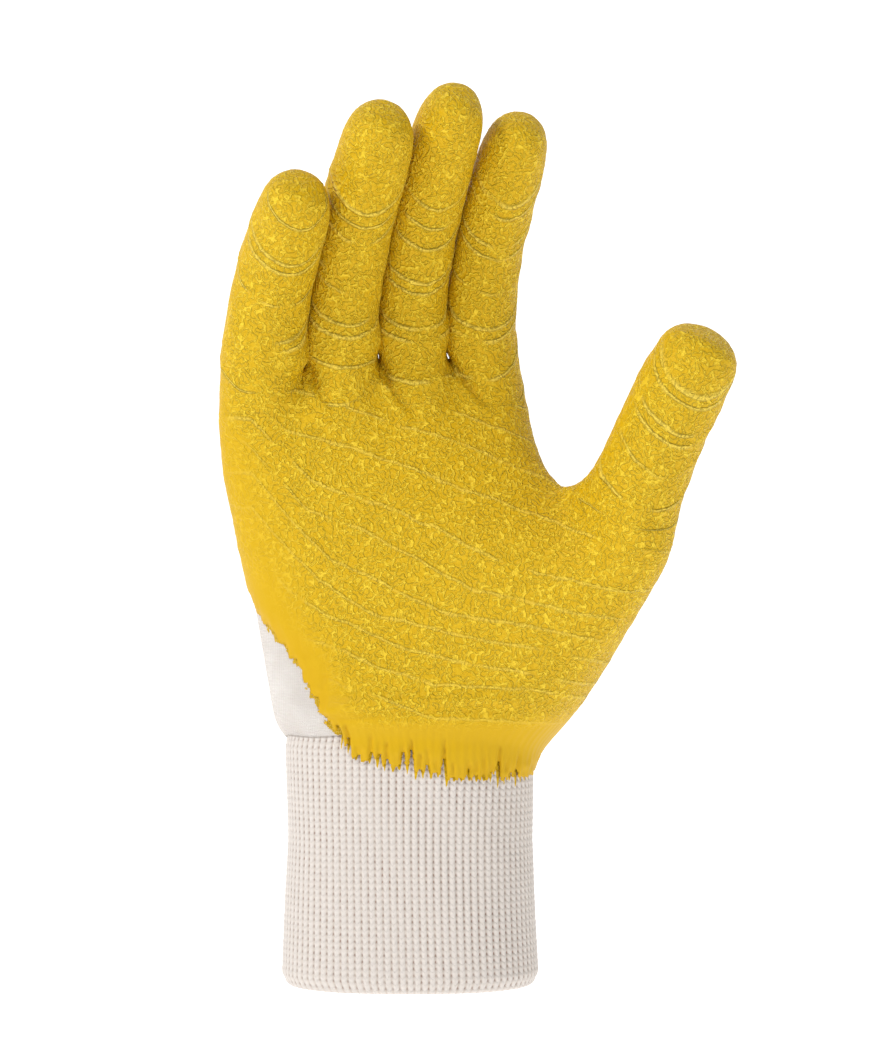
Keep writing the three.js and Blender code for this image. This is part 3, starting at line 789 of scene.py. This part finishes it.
# the coat: the hand's surface kept outside the cuff, raised by its relief, thinned and cut at its edge
def makeCoat(rows, quads):
    points = overCuff(rows[:, placeColumns], layers["gap"] + layers["latex"], coat["wristBlend"])
    normals = normalsOf(points, quads)
    teeth = cloud(points, coat["toothSize"], 3) * coat["tooth"]
    fromEdge = aboveEdge(points) + teeth * eased(points[:, 2], *coat["toothed"]) + spikes(points)
    full = eased(fromEdge, 0, coat["edgeTaper"])
    crinkled = eased(fromEdge, 0, coat["smoothMargin"]) * eased(points[:, 2], *coat["crinkled"])
    besideHeel = np.abs(besideLine(points, smoothSide["line"])[0])
    crinkled = crinkled * eased(besideHeel, smoothSide["from"], smoothSide["to"])
    warp = np.stack([cloud(points, coat["warpSize"], seed) for seed in (5, 6, 7)], axis=1) * coat["warp"]
    wrinkles = 1 - np.abs(cloud(points + warp, coat["wrinkleSize"], 8)) * coat["wrinkleSharpness"]
    phase, apart = ridgeField(rows, points)
    wave = cloud(points, coat["ridgeWaveSize"], 9) * coat["ridgeWave"]
    fromRidge = np.abs((phase + wave + 0.5) % 1 - 0.5) * apart
    onDigit = eased(rows[:, memberColumns].max(axis=1), 0.3, 0.7)
    ridged = coat["palmRidges"] + coat["digitRidges"] * onDigit * eased(rows[:, frontColumn], -0.4, 0.1)
    unbroken = eased(cloud(points, coat["breakSize"], 10), *coat["breaks"])
    ridges = bell(fromRidge, 0, coat["ridgeWidth"]) * coat["ridge"] * unbroken * ridged
    relief = cloud(points, coat["swellSize"], 4) * coat["swell"] + np.maximum(wrinkles, 0) * coat["wrinkle"]
    shape = foldRelief(points, normals) + creaseRelief(points, normals) + flankRelief(rows)
    shape = shape + webRelief(points, normals)
    relief = (relief + ridges) * crinkled + shape
    sunk = layers["latex"] + layers["gap"] / 2
    outer = points + normals * (relief * full - (sunk - coat["edgeThickness"]) * (1 - full))[:, None]
    inner = points - normals * (layers["latex"] + (sunk - layers["latex"]) * (1 - full))[:, None]
    return shellPiece("grip_coat", outer, inner, quads, fromEdge, {
        "fromEdge": fromEdge,
        "crinkled": crinkled * (1 - coat["leftFlank"] * eased(-rows[:, sideColumn], 0.5, 0.9)),
        "relief": relief,
        "phase": phase,
        "apart": apart,
        "rib": waleOf(points),
        "ridged": ridged,
        "overCuff": eased(points[:, 2], *coat["ribbed"]),
    })


liner = {
    "slackSize": 14.0,
    "slack": 0.12,
    "cuffRoom": 0.3,
    "uncutAbove": 2,  # nothing is cut higher than this above the cuff
    "uncut": 5,
}


# the liner: the hand's surface under the coat, down to where it meets the cuff
def makeLiner(rows, quads):
    points = rows[:, placeColumns]
    normals = normalsOf(points, quads)
    outside = layers["latex"] + layers["gap"]
    slack = cloud(points, liner["slackSize"], 12) * liner["slack"]
    outer = points - normals * (outside - slack)[:, None]
    inner = points - normals * (outside + layers["jersey"])
    angle = np.arctan2(outer[:, 1], outer[:, 0])
    radius = np.hypot(outer[:, 0], outer[:, 1])
    clear = radius - cuffRadius(angle, np.clip(outer[:, 2], 0, cuff["top"]), liner["cuffRoom"])
    clear = np.where(outer[:, 2] > cuff["top"] + liner["uncutAbove"], liner["uncut"], clear)
    return shellPiece("jersey_glove", outer, inner, quads, clear, {"fromEdge": aboveEdge(points)})


cuffGrid = {
    "ribColumns": 6,
    "courseRows": 3,
    "innerRows": 16,
    "hemRows": 6,
    "topRows": 4,
}


# the cuff: a closed wall carried round the wrist, with ribs outside and inside and stitches along each rib
def makeCuff():
    columns = cuff["ribs"] * cuffGrid["ribColumns"]
    share = np.arange(columns) / columns
    fine = np.linspace(0, 2 * math.pi, cuff["girthSteps"], endpoint=False)
    angle = np.interp(share, cuffShare(fine), fine)
    half = cuff["wall"] / 2
    courses = int((cuff["top"] - cuff["wall"]) / cuff["course"]) * cuffGrid["courseRows"]
    bend = np.linspace(0, math.pi, cuffGrid["hemRows"], endpoint=False)
    cap = np.linspace(0, math.pi, cuffGrid["topRows"], endpoint=False)
    down = np.linspace(cuff["top"] - half, half, cuffGrid["innerRows"], endpoint=False)
    up = np.linspace(half, cuff["top"] - half, courses, endpoint=False)
    z = np.concatenate([up, cuff["top"] - half + np.sin(cap) * half, down, half - np.sin(bend) * half])
    inset = np.concatenate([
        np.zeros(courses),
        half - np.cos(cap) * half,
        np.full(len(down), cuff["wall"]),
        half + np.cos(bend) * half,
    ])
    outside = np.clip(1 - inset / cuff["wall"], 0, 1)[:, None]
    a, zz = np.meshgrid(angle, z)
    wale = share[None, :] * cuff["ribs"] + ribSway(a, zz)
    width, depth = cuff["puffOval"]
    ring = np.stack([np.cos(a) * width, np.sin(a) * depth, zz], axis=-1).reshape(-1, 3)
    groove = 1 - np.abs(np.sin(math.pi * wale)) ** cuff["grooveWidth"]
    stitch = 0.5 + 0.5 * np.cos(2 * math.pi * zz / cuff["course"])
    relief = cuff["ribRelief"] * groove + cuff["stitchRelief"] * stitch * (1 - groove)
    relief = relief * (cuff["insideRelief"] + (1 - cuff["insideRelief"]) * outside)
    puff = cuff["puff"] * (cloud(ring, cuff["puffSize"], 22).reshape(a.shape) - cuff["slim"])
    radius = cuffRadius(a, zz) - inset[:, None] - relief + puff
    points = np.stack([radius * np.cos(a), radius * np.sin(a), zz], axis=-1).reshape(-1, 3)
    index = np.arange(a.size).reshape(a.shape)
    right, above = np.roll(index, -1, axis=1), np.roll(index, -1, axis=0)
    faces = np.stack([index, right, np.roll(above, -1, axis=1), above], axis=-1).reshape(-1, 4)
    piece = meshPiece("knit_cuff", points, faces.tolist())
    setNumbers(piece, "wale", wale.ravel())
    setNumbers(piece, "course", (zz / cuff["course"]).ravel())
    setNumbers(piece, "groove", (groove * outside).ravel())
    setNumbers(piece, "soaked", aboveEdge(points) + spikes(points) + cuff["soaked"])
    return piece


# one material's nodes
class Finish:
    def __init__(self, name):
        self.material = bpy.data.materials.new(name)
        self.material.use_nodes = True
        self.tree = self.material.node_tree
        self.tree.nodes.clear()

    # a node of any type: its settings first, then the values or links of its sockets, and one output
    def node(self, kind, settings=None, inputs=None, output=0):
        made = self.tree.nodes.new("ShaderNode" + kind)
        for name, value in (settings or {}).items():
            setattr(made, name, value)
        for name, value in (inputs or {}).items():
            socket = made.inputs[name]
            if isinstance(value, Value):
                self.tree.links.new(value.socket, socket)
            elif isinstance(value, tuple) and len(value) == 3 and len(socket.default_value) == 4:
                socket.default_value = (*value, 1)
            else:
                socket.default_value = value
        return Value(self, made.outputs[output])

    def place(self):
        return self.node("TexCoord", output="Object")

    def number(self, name):
        return self.node("Attribute", {"attribute_name": name}, output="Fac")

    def parts(self, vector):
        split = self.node("SeparateXYZ", inputs={0: vector})
        return [Value(self, socket) for socket in split.socket.node.outputs]

    def moved(self, vector, by, scale=1.0):
        shifted = self.node("VectorMath", {"operation": "SCALE"}, {0: by, "Scale": scale})
        return self.node("VectorMath", {"operation": "ADD"}, {0: vector, 1: shifted})

    def noise(self, vector, scale, detail=2.0, roughness=0.5, output=0, distortion=0.0):
        inputs = {"Vector": vector, "Scale": scale, "Detail": detail}
        inputs.update({"Roughness": roughness, "Distortion": distortion})
        return self.node("TexNoise", inputs=inputs, output=output)

    def smooth(self, value, start, end):
        settings = {"interpolation_type": "SMOOTHSTEP", "clamp": True}
        return self.node("MapRange", settings, {"Value": value, "From Min": start, "From Max": end})

    def mixed(self, share, first, second):
        made = self.node("Mix", {"data_type": "RGBA"}, {0: share}, output=2)
        for name, value in ((6, first), (7, second)):
            if isinstance(value, Value):
                self.tree.links.new(value.socket, made.socket.node.inputs[name])
            else:
                made.socket.node.inputs[name].default_value = (*value, 1)
        return made

    def bumped(self, height, distance):
        return self.node("Bump", inputs={"Height": height, "Distance": distance, "Strength": 1.0})

    def finished(self, inputs):
        surface = self.node("BsdfPrincipled", inputs=inputs)
        output = self.tree.nodes.new("ShaderNodeOutputMaterial")
        self.tree.links.new(surface.socket, output.inputs["Surface"])
        return self.material


# a number that varies over a surface: sums on it add Math nodes
class Value:
    def __init__(self, finish, socket):
        self.finish, self.socket = finish, socket

    def combined(self, operation, *values):
        return self.finish.node("Math", {"operation": operation}, dict(enumerate(values)))

    def __add__(self, other):
        return self.combined("ADD", self, other)

    def __radd__(self, other):
        return self.combined("ADD", other, self)

    def __sub__(self, other):
        return self.combined("SUBTRACT", self, other)

    def __rsub__(self, other):
        return self.combined("SUBTRACT", other, self)

    def __mul__(self, other):
        return self.combined("MULTIPLY", self, other)

    def __rmul__(self, other):
        return self.combined("MULTIPLY", other, self)

    def __abs__(self):
        return self.combined("ABSOLUTE", self)

    def fraction(self):
        return self.combined("FRACT", self)

    def sine(self):
        return self.combined("SINE", self)


# sRGB to the linear colour that shaders take: c / 12.92 near black, else ((c + 0.055) / 1.055)^2.4
def colour(*levels):
    shares = [level / 255 for level in levels]
    return tuple(c / 12.92 if c <= 0.04045 else ((c + 0.055) / 1.055) ** 2.4 for c in shares)


latexColours = {
    # the ridge tone and the lighter worm tone below it: partly paler thin stretched latex, partly a painted
    # highlight on their tops
    "ridge": colour(248, 218, 88),
    "stretchedAndHighlit": colour(242, 206, 48),
    "plain": colour(212, 169, 0),
    # painted shade: a deeper orange where the relief sinks into folds and grooves
    "sunk": colour(184, 126, 0),
    "edge": colour(212, 166, 0),
    "soaked": colour(216, 176, 24),
}
cottonColours = {
    "jersey": colour(237, 231, 225),
    "plain": colour(225, 217, 210),
    "shaded": colour(188, 170, 156),
    # painted shade for the holes between loops in the cuff's grooves
    "holeShade": colour(150, 120, 104),
}

# The latex's patterns: scales are cells per metre, widths and depths of ridges and folds in millimetres.
latexLook = {
    "wormScale": 700.0,
    "wormBend": 0.7,
    "wormSharpness": 8,
    "grainScale": 900.0,
    "slowWave": (75.0, 0.28),
    "quickWave": (260.0, 0.12),
    "breakScale": 62.0,
    "breaks": (0.36, 0.48),
    "ridge": (0.8, 0.1),
    "edge": 7.0,
    # relief depths over which the painted fold shade comes in
    "sunk": (-1.3, -2.5),
    "bump": 0.00075,
}
jerseyLook = {
    "wale": 0.0011,
    "course": 0.0009,
    "raggedScale": 420.0,
    "ragged": 9.0,
    "soaked": (4.0, 4.4),
    "patchScale": 90.0,
    "bump": 0.00035,
}
knitLook = {
    "slant": 0.45,
    "fuzzScale": 1800.0,
    "patchScale": 60.0,
    "raggedScale": 500.0,
    "ragged": 3.0,
    "soaked": (-0.2, 0.3),
    "bump": 0.0004,
}


# worm-like ridges from 0 to 1: where a warped noise passes its middle value
def crinkleOf(finish, place, scale):
    bend = finish.noise(place, scale * 0.75, 1.0, output="Color")
    wave = finish.noise(finish.moved(place, bend, latexLook["wormBend"] / scale), scale, 0.0)
    return finish.smooth(abs(wave - 0.5) * latexLook["wormSharpness"], 1.0, 0.0)


# a wave about 0, from its scale and size
def waveOf(finish, place, scale, size):
    return (finish.noise(place, scale, 1.0) - 0.5) * size


# yellow with lighter worms and ridges, partly paler thin stretched latex and partly painted highlight, painted
# shade deepening the folds, and smooth by the coat's edge
def latexFinish():
    finish = Finish("crinkled latex")
    place = finish.place()
    crinkled, relief = finish.number("crinkled"), finish.number("relief")
    worms = crinkleOf(finish, place, latexLook["wormScale"])
    grains = finish.smooth(finish.noise(place, latexLook["grainScale"], 0.5, distortion=0.8), 0.34, 0.66)
    wave = waveOf(finish, place, *latexLook["slowWave"]) + waveOf(finish, place, *latexLook["quickWave"])
    between = abs((finish.number("phase") + wave + 0.5).fraction() - 0.5) * finish.number("apart")
    broken = finish.smooth(finish.noise(place, latexLook["breakScale"], 1.0), *latexLook["breaks"])
    ridge = finish.smooth(between, *latexLook["ridge"]) * broken * finish.number("ridged")
    ribs = (finish.number("rib") * (2 * math.pi)).sine() * finish.number("overCuff")
    height = (worms * 0.5 + grains * 0.25 + ridge * 1.1) * crinkled + ribs * 0.06
    # worms and ridges lightened where they stand up: partly paler thin stretched latex, partly a painted
    # highlight
    stretchedAndHighlit = (worms * 0.8 + grains * 0.2) * crinkled
    tone = finish.mixed(stretchedAndHighlit, latexColours["plain"], latexColours["stretchedAndHighlit"])
    tone = finish.mixed(ridge * 0.7 * crinkled, tone, latexColours["ridge"])
    nearEdge = finish.smooth(finish.number("fromEdge"), latexLook["edge"], 0.0)
    tone = finish.mixed(nearEdge * 0.5, tone, latexColours["edge"])
    # painted shade: the colour deepens where the relief sinks into the folds and grooves
    sunk = finish.smooth(relief, *latexLook["sunk"])
    tone = finish.mixed(sunk * 0.75, tone, latexColours["sunk"])
    return finish.finished({
        "Base Color": tone,
        "Roughness": 0.55,
        "Specular IOR Level": 0.25,
        "Normal": finish.bumped(height, latexLook["bump"]),
    })


# white cotton with fine stitches and faint patches, yellow where latex has soaked in
def jerseyFinish():
    finish = Finish("cotton jersey")
    place = finish.place()
    x, _, z = finish.parts(place)
    wales = (x * (2 * math.pi / jerseyLook["wale"])).sine()
    courses = (z * (2 * math.pi / jerseyLook["course"])).sine()
    knit = abs(wales) * 0.6 + courses * 0.3
    ragged = finish.noise(place, jerseyLook["raggedScale"], 3.0, 0.6) * jerseyLook["ragged"]
    soaked = finish.smooth(finish.number("fromEdge") + ragged, *jerseyLook["soaked"])
    patches = finish.smooth(finish.noise(place, jerseyLook["patchScale"], 3.0), 0.3, 0.7)
    tone = finish.mixed(patches * 0.2 + abs(wales) * 0.1, cottonColours["jersey"], cottonColours["shaded"])
    tone = finish.mixed(soaked, tone, latexColours["soaked"])
    return finish.finished({
        "Base Color": tone,
        "Roughness": 0.95,
        "Specular IOR Level": 0.15,
        "Sheen Weight": 0.2,
        "Normal": finish.bumped(knit, jerseyLook["bump"]),
    })


# cream loops slanted across each rib, painted shade down each groove, and a dark spot of painted shade in the
# hole between loops in each groove
def cuffFinish():
    finish = Finish("cotton rib knit")
    place = finish.place()
    wale, course, groove = finish.number("wale"), finish.number("course"), finish.number("groove")
    across = abs((wale + 0.5).fraction() - 0.5) * 2
    slanted = (course + across * knitLook["slant"]).fraction()
    loop = (slanted * math.pi).sine()
    height = loop * 0.7 + finish.noise(place, knitLook["fuzzScale"], 2.0) * 0.3
    patch = finish.smooth(finish.noise(place, knitLook["patchScale"], 1.0), 0.3, 0.7)
    # painted shade: a dark spot in each gap between loops down the grooves
    holeShade = finish.smooth(groove, 0.3, 0.85) * finish.smooth(loop, 0.85, 0.25)
    shade = finish.smooth(groove, 0.1, 0.9) * 0.55
    tone = finish.mixed(shade, cottonColours["plain"], cottonColours["shaded"])
    tone = finish.mixed(holeShade * (patch * 0.35 + 0.5), tone, cottonColours["holeShade"])
    ragged = (finish.noise(place, knitLook["raggedScale"], 2.0) - 0.5) * knitLook["ragged"]
    soaked = finish.smooth(finish.number("soaked") + ragged - groove * 2.0, *knitLook["soaked"])
    tone = finish.mixed(soaked, tone, latexColours["soaked"])
    return finish.finished({
        "Base Color": tone,
        "Roughness": 0.95,
        "Specular IOR Level": 0.15,
        "Sheen Weight": 0.2,
        "Normal": finish.bumped(height, knitLook["bump"]),
    })


studio = {
    "camera": (0.00926, -0.9, 0.13106),
    "frameHeight": 0.29811,
    "sensor": 36.0,
    "floor": -0.06,
    "floorFront": -2.5,
    "floorBack": 0.9,
    "bend": 0.6,
    "backdrop": 3.5,
    "halfWidth": 3,
    "daylight": 0.4,
    "aim": (0, 0, 0.13),
}
lights = {
    "key": {"place": (-0.8, -0.6, 1.0), "size": 0.35, "power": 9.5},
    "fill": {"place": (0.8, -0.9, 0.3), "size": 0.8, "power": 1.9},
}


# a floor that curves up into a backdrop, from a profile carried across
def makeSweep():
    turn, bend, back = np.linspace(0, math.pi / 2, 13), studio["bend"], studio["floorBack"]
    depth = np.concatenate([[studio["floorFront"], back], back + bend * np.sin(turn), [back + bend]])
    height = np.concatenate([[0, 0], bend - bend * np.cos(turn), [studio["backdrop"]]]) + studio["floor"]
    across = np.linspace(-studio["halfWidth"], studio["halfWidth"], 7)
    x, row = np.meshgrid(across, np.arange(len(depth)))
    points = np.stack([x, depth[row], height[row]], axis=-1).reshape(-1, 3) / mm
    index = np.arange(x.size).reshape(x.shape)
    faces = np.stack([index[:-1, :-1], index[:-1, 1:], index[1:, 1:], index[1:, :-1]], axis=-1).reshape(-1, 4)
    sweep = meshPiece("sweep", points, faces.tolist())
    finish = Finish("white paper")
    sweep.data.materials.append(finish.finished({
        "Base Color": (0.9, 0.9, 0.9),
        "Roughness": 0.9,
        "Specular IOR Level": 0.1,
        "Emission Color": (1, 1, 1),
        "Emission Strength": 0.55,
    }))


# a square light turned to the aim: tilt atan2(level distance, drop), turn atan2(y, x) - a quarter
def addLight(name, place, size, power):
    light = bpy.data.lights.new(name, "AREA")
    light.size, light.energy = size, power
    lamp = objectOf(name, light)
    lamp.location = place
    x, y, z = np.array(studio["aim"]) - np.array(place)
    lamp.rotation_euler = (math.atan2(math.hypot(x, y), -z), 0, math.atan2(y, x) - math.pi / 2)


# the sweep, the room's light, two lamps, and a camera level with the glove's middle
def makeStudio():
    makeSweep()
    bpy.context.scene.view_settings.view_transform = "Standard"
    camera = bpy.data.cameras.new("camera")
    camera.sensor_width = studio["sensor"]
    camera.lens = studio["sensor"] * -studio["camera"][1] / studio["frameHeight"]
    viewer = objectOf("camera", camera)
    viewer.location = studio["camera"]
    viewer.rotation_euler = (math.pi / 2, 0, 0)
    bpy.context.scene.camera = viewer
    world = bpy.data.worlds.new("room")
    world.use_nodes = True
    background = world.node_tree.nodes["Background"]
    background.inputs["Color"].default_value = (1, 1, 1, 1)
    background.inputs["Strength"].default_value = studio["daylight"]
    bpy.context.scene.world = world
    for name, light in lights.items():
        addLight(name, **light)


rows, quads = handSurface(coat["subdivisions"])
print("stage: hand surface of", len(quads), "faces")
gripCoat = makeCoat(rows, quads)
gripCoat.data.materials.append(latexFinish())
print("stage: coat")
jerseyGlove = makeLiner(rows, quads)
jerseyGlove.data.materials.append(jerseyFinish())
print("stage: liner")
knitCuff = makeCuff()
knitCuff.data.materials.append(cuffFinish())
print("stage: cuff")
for piece, node in ((gripCoat, "latex_coat"), (jerseyGlove, "jersey_liner"), (knitCuff, "rib_cuff")):
    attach(piece, "root")
    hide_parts(node)
makeStudio()
print("stage: studio")
